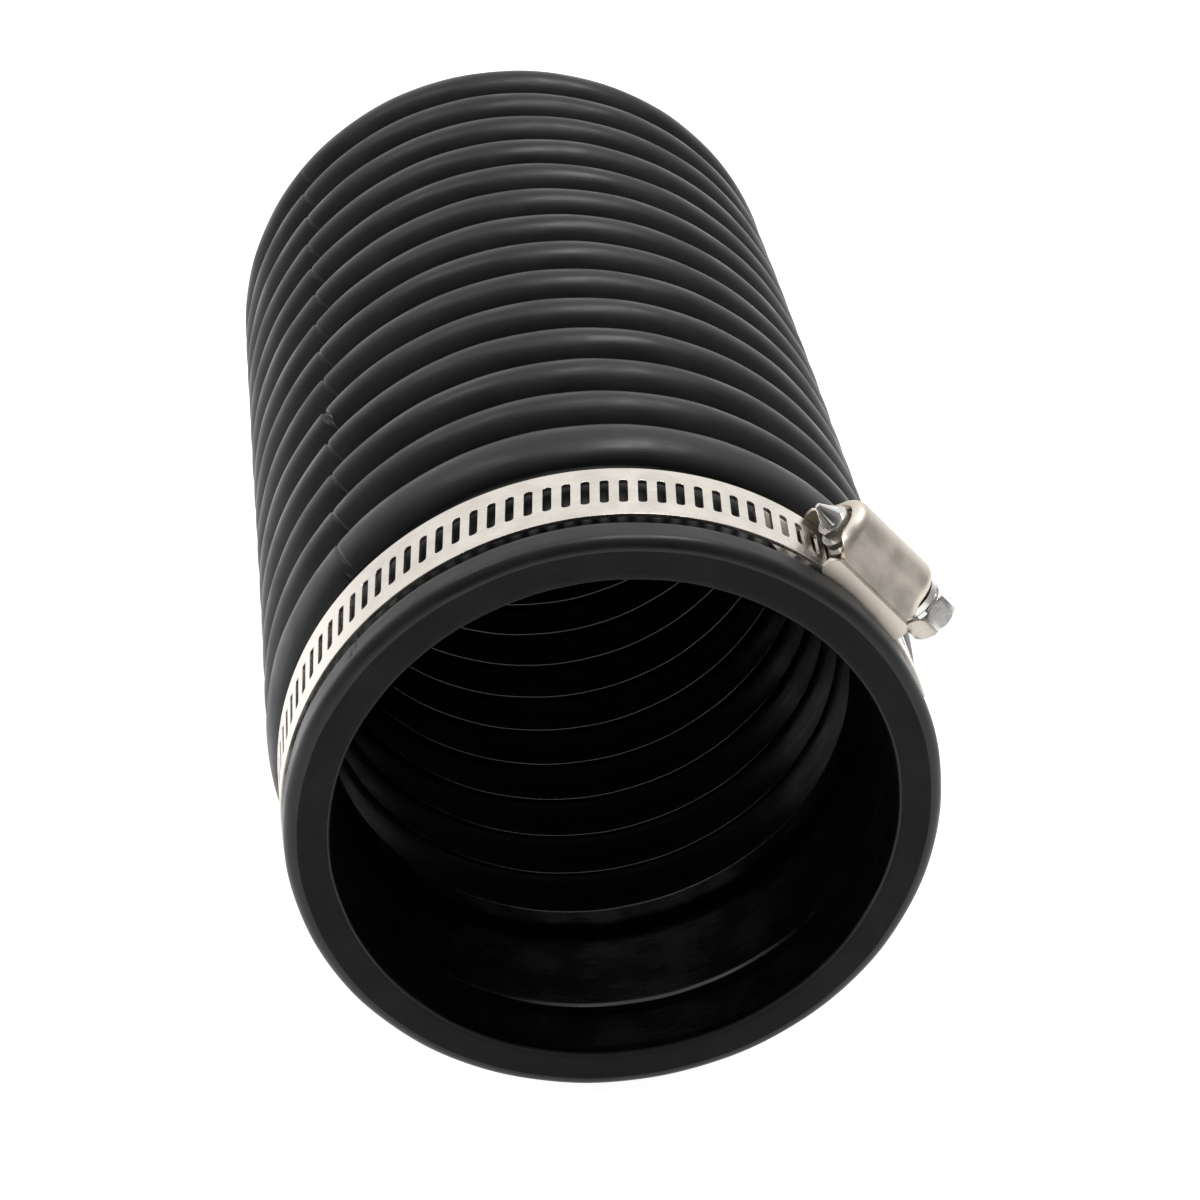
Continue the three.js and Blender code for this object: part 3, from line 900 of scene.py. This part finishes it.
def screw_stations():
    """(x, radius for each turn) rows from the screw's point to its head."""
    def constant(radius):
        return lambda turn: radius

    def pointed(radius):
        return lambda turn: radius * (POINT_ROUND + POINT_FACETS * hexagon(turn))

    point_end = SCREW_TIP + POINT_LENGTH
    rows = [(SCREW_TIP, constant(0)), (SCREW_TIP + POINT_STEP, pointed(POINT_TIP))]
    rows += [(point_end - 0.5 * MM, pointed(POINT_ROOT)), (point_end, constant(POINT_ROOT))]
    rows += [(point_end, constant(JOURNAL)), (-WORM_END, constant(JOURNAL))]
    for x in np.linspace(-WORM_END, WORM_END, 111):
        rows.append((x, lambda turn, x=x: thread_radius(x, turn)))
    rows += [(WORM_END, constant(JOURNAL)), (COLLAR_START, constant(JOURNAL))]
    rows += [(COLLAR_START, constant(WORM_RADIUS)), (COLLAR_END, constant(WORM_RADIUS))]
    rows += [(COLLAR_END, neck_radius), (HEAD_START, neck_radius)]
    rows += [
        (x, lambda turn, x=x: head_radius(x, turn))
        for x in np.concatenate([
            HEAD_START + HEAD_CHAMFER * np.linspace(0, 1, 7) ** 2,
            SCREW_HEAD - HEAD_CHAMFER * np.linspace(1, 0, 7) ** 2,
        ])
    ]
    rows.append((SCREW_HEAD, constant(0)))
    return rows


def screw():
    """The worm screw, with a driver slot in its head."""
    rows = screw_stations()
    points = []
    for x, radius_at in rows:
        for column in range(SCREW_SIDES):
            turn = FULL_TURN * column / SCREW_SIDES
            radius = radius_at(turn)
            points.append((x, radius * math.cos(turn), SCREW_HEIGHT + radius * math.sin(turn)))
    faces = grid_faces(len(rows), SCREW_SIDES, columns_closed=True)
    piece = clamp_piece("clamp_worm_screw", points, faces, SCREW_STEEL)
    weld = piece.modifiers.new("weld", "WELD")
    weld.merge_threshold = 0.002 * MM
    applied(piece)

    corners = [
        (x, y, SCREW_HEIGHT + z)
        for x in (SCREW_HEAD - DRIVER_SLOT_DEPTH, SCREW_HEAD + DRIVER_SLOT_DEPTH)
        for y in (-DRIVER_SLOT_HALF_WIDTH, DRIVER_SLOT_HALF_WIDTH)
        for z in (-DRIVER_SLOT_REACH, DRIVER_SLOT_REACH)
    ]
    box_faces = [(0, 1, 3, 2), (4, 6, 7, 5), (0, 4, 5, 1), (2, 3, 7, 6), (0, 2, 6, 4), (1, 5, 7, 3)]
    cutter = clamp_piece("driver_slot", corners, box_faces, SCREW_STEEL)
    cut = piece.modifiers.new("driver slot", "BOOLEAN")
    cut.operation = "DIFFERENCE"
    cut.object = cutter
    applied(piece)
    bpy.data.objects.remove(cutter)
    edges_rounded(piece, 0.1 * MM)
    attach(piece, "screw")
    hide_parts("clamp_screw")


band()
saddle()
housing()
screw()

# ---- Studio -------------------------------------------------------------------------------------


FLOOR_HALF = 4.0


def pale_floor():
    """A plain white surface, lit so brightly that it has no tone of its own."""
    look = Look("pale_floor", Roughness=0.9)
    tint = look.mix(look.noise(0.5), (0.55, 0.55, 0.55), (0.60, 0.60, 0.60))
    look.drive("Base Color", tint)
    look.drive("Emission Color", (1.0, 1.0, 1.0, 1.0))
    look.drive("Emission Strength", 0.92)
    sides = ((-1, -1), (1, -1), (1, 1), (-1, 1))
    corners = [(x * FLOOR_HALF, y * FLOOR_HALF, FLOOR) for x, y in sides]
    new_piece("floor", corners, [(0, 1, 2, 3)], look.material)


def surroundings():
    """White behind, grey at the sides and overhead, and almost dark on the camera's side."""
    world = bpy.data.worlds.new("studio")
    world.use_nodes = True
    bpy.context.scene.world = world
    graph = Graph(world.node_tree, "Generated")
    y = graph.add("ShaderNodeSeparateXYZ", Vector=graph.here).outputs[1]
    behind = graph.spread(y, 0.05, 0.75, 0.0, 0.70)
    ahead = graph.spread(y, -0.95, -0.25, 0.04, 0.33)
    background = world.node_tree.nodes["Background"]
    background.inputs["Color"].default_value = (1.0, 1.0, 1.0, 1.0)
    graph.connect(graph.math("ADD", behind, ahead), background.inputs["Strength"])


def softbox(name, place, width, length, power):
    light = bpy.data.lights.new(name, "AREA")
    light.shape = "RECTANGLE"
    light.size = width
    light.size_y = length
    light.energy = power
    lamp = bpy.data.objects.new(name, light)
    lamp.location = place
    lamp.rotation_euler = (-Vector(place)).to_track_quat("-Z", "Y").to_euler()
    bpy.context.scene.collection.objects.link(lamp)


FOCAL_LENGTH = 96.4  # in millimetres, as Blender has it
SENSOR_WIDTH = 36.0
EYE = (-50.0 * MM, FRONT - 405.7 * MM, 286.9 * MM)
LOOKING = (0.0993, 0.8514, -0.5151)


def camera():
    """Stands in front and a little to the left, looking down into the mouth."""
    lens = bpy.data.cameras.new("camera")
    lens.lens = FOCAL_LENGTH
    lens.sensor_width = SENSOR_WIDTH
    eye = bpy.data.objects.new("camera", lens)
    eye.location = EYE
    eye.rotation_euler = Vector(LOOKING).to_track_quat("-Z", "Y").to_euler()
    bpy.context.scene.collection.objects.link(eye)
    bpy.context.scene.camera = eye


pale_floor()
surroundings()
softbox("overhead", (0.24, 0.20, 1.0), 0.16, 0.6, 4.6)
softbox("left", (-0.40, 0.28, 0.88), 0.10, 0.5, 1.2)
camera()
bpy.context.scene.view_settings.view_transform = "Standard"
